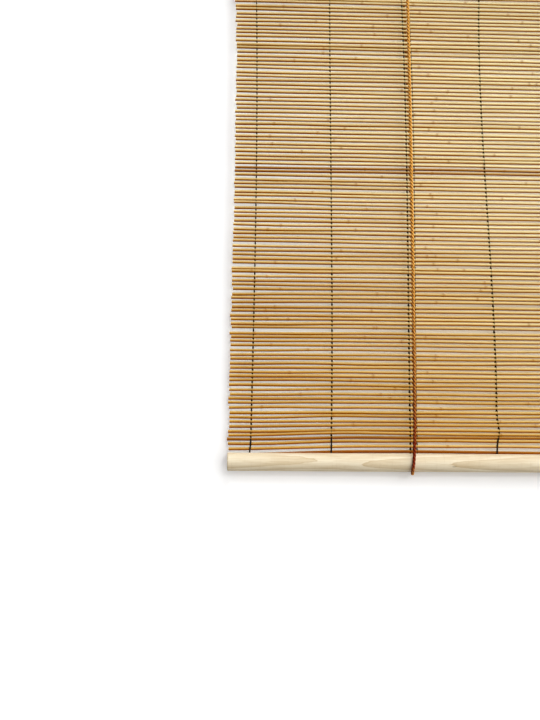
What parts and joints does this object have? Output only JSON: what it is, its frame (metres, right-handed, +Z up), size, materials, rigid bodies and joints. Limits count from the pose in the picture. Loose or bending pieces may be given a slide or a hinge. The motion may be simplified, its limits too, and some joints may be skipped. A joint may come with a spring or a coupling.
{
  "type": "bamboo blind",
  "caption": "Roll-up blind of slim bamboo reeds bound by dark warp threads, with a round wooden bottom rail raised by looped lift cords over wheels on the head rail.",
  "frame": {"origin": "midway between the two hanger holes, on the back faces of the hanger plates", "axes": "+X to the right seen from the front, -Y towards the room, +Z up; the blind hangs down from z = 0"},
  "size_m": [0.604, 0.0386, 0.68],
  "materials": {
    "bamboo": "satin",
    "pale_wood": "matte",
    "thread": "matte",
    "cord": "matte",
    "zinc_steel": "satin",
    "nylon": "satin"
  },
  "bodies": {
    "head": {"head_rail": "pale_wood", "hanger_plate_left": "zinc_steel", "hanger_plate_right": "zinc_steel", "hanger_screws": "zinc_steel", "head_staples": "zinc_steel", "anchor_staples": "zinc_steel", "wheel_screws": "zinc_steel", "reed_mat": "bamboo", "warp_thread_1": "thread", "warp_thread_2": "thread", "warp_thread_3": "thread", "warp_thread_4": "thread", "warp_thread_5": "thread", "warp_thread_6": "thread", "warp_thread_7": "thread", "warp_thread_8": "thread", "warp_thread_9": "thread", "cord_front_run_left": "cord", "cord_front_run_right": "cord", "cord_back_run_left": "cord", "cord_back_run_right": "cord", "cord_top_run_left": "cord", "cord_top_run_right": "cord", "cord_tail_left": "cord", "cord_tail_right": "cord"},
    "lift_loops": {"cord_loops": "cord"},
    "rail": {"bottom_rail": "pale_wood", "rail_staples": "zinc_steel"},
    "left_wheel_body": {"left_wheel": "nylon"},
    "right_wheel_body": {"right_wheel": "nylon"},
    "outer_side_wheel_body": {"outer_side_wheel": "nylon"},
    "inner_side_wheel_body": {"inner_side_wheel": "nylon"},
    "pull": {"pull_toggle": "pale_wood", "pull_knots": "cord"}
  },
  "joints": [
    {"name": "rail_lift", "type": "slide", "parent": "head", "child": "lift_loops", "axis": [0, 0, 1], "range_m": [0, 0.54], "deforming": ["reed_mat", "warp_thread_1", "warp_thread_2", "warp_thread_3", "warp_thread_4", "warp_thread_5", "warp_thread_6", "warp_thread_7", "warp_thread_8", "warp_thread_9", "cord_back_run_left", "cord_back_run_right", "cord_front_run_left", "cord_front_run_right"]},
    {"name": "rail_roll", "type": "hinge", "parent": "lift_loops", "child": "rail", "pos_m": [0, -0.02075, -0.6222], "axis": [-1, 0, 0], "range_deg": [0, 1800]},
    {"name": "left_wheel_spin", "type": "hinge", "parent": "head", "child": "left_wheel_body", "pos_m": [-0.089, -0.03255, -0.021], "axis": [0, 1, 0], "continuous": true},
    {"name": "right_wheel_spin", "type": "hinge", "parent": "head", "child": "right_wheel_body", "pos_m": [0.101, -0.03255, -0.0251], "axis": [0, 1, 0], "continuous": true},
    {"name": "outer_side_wheel_spin", "type": "hinge", "parent": "head", "child": "outer_side_wheel_body", "pos_m": [0.245, -0.03255, -0.021], "axis": [0, 1, 0], "continuous": true},
    {"name": "inner_side_wheel_spin", "type": "hinge", "parent": "head", "child": "inner_side_wheel_body", "pos_m": [0.225, -0.03255, -0.0251], "axis": [0, 1, 0], "continuous": true},
    {"name": "pull_drop", "type": "slide", "parent": "head", "child": "pull", "axis": [0, 0, -1], "range_m": [0, 1.08], "deforming": ["cord_tail_left", "cord_tail_right"]}
  ],
  "couplings": [
    {"joint": "rail_roll", "follows": "rail_lift", "rad_per_m": 58.17},
    {"joint": "left_wheel_spin", "follows": "rail_lift", "rad_per_m": 333.33},
    {"joint": "right_wheel_spin", "follows": "rail_lift", "rad_per_m": 333.33},
    {"joint": "outer_side_wheel_spin", "follows": "rail_lift", "rad_per_m": 333.33},
    {"joint": "inner_side_wheel_spin", "follows": "rail_lift", "rad_per_m": 333.33},
    {"joint": "pull_drop", "follows": "rail_lift", "ratio": 2}
  ]
}
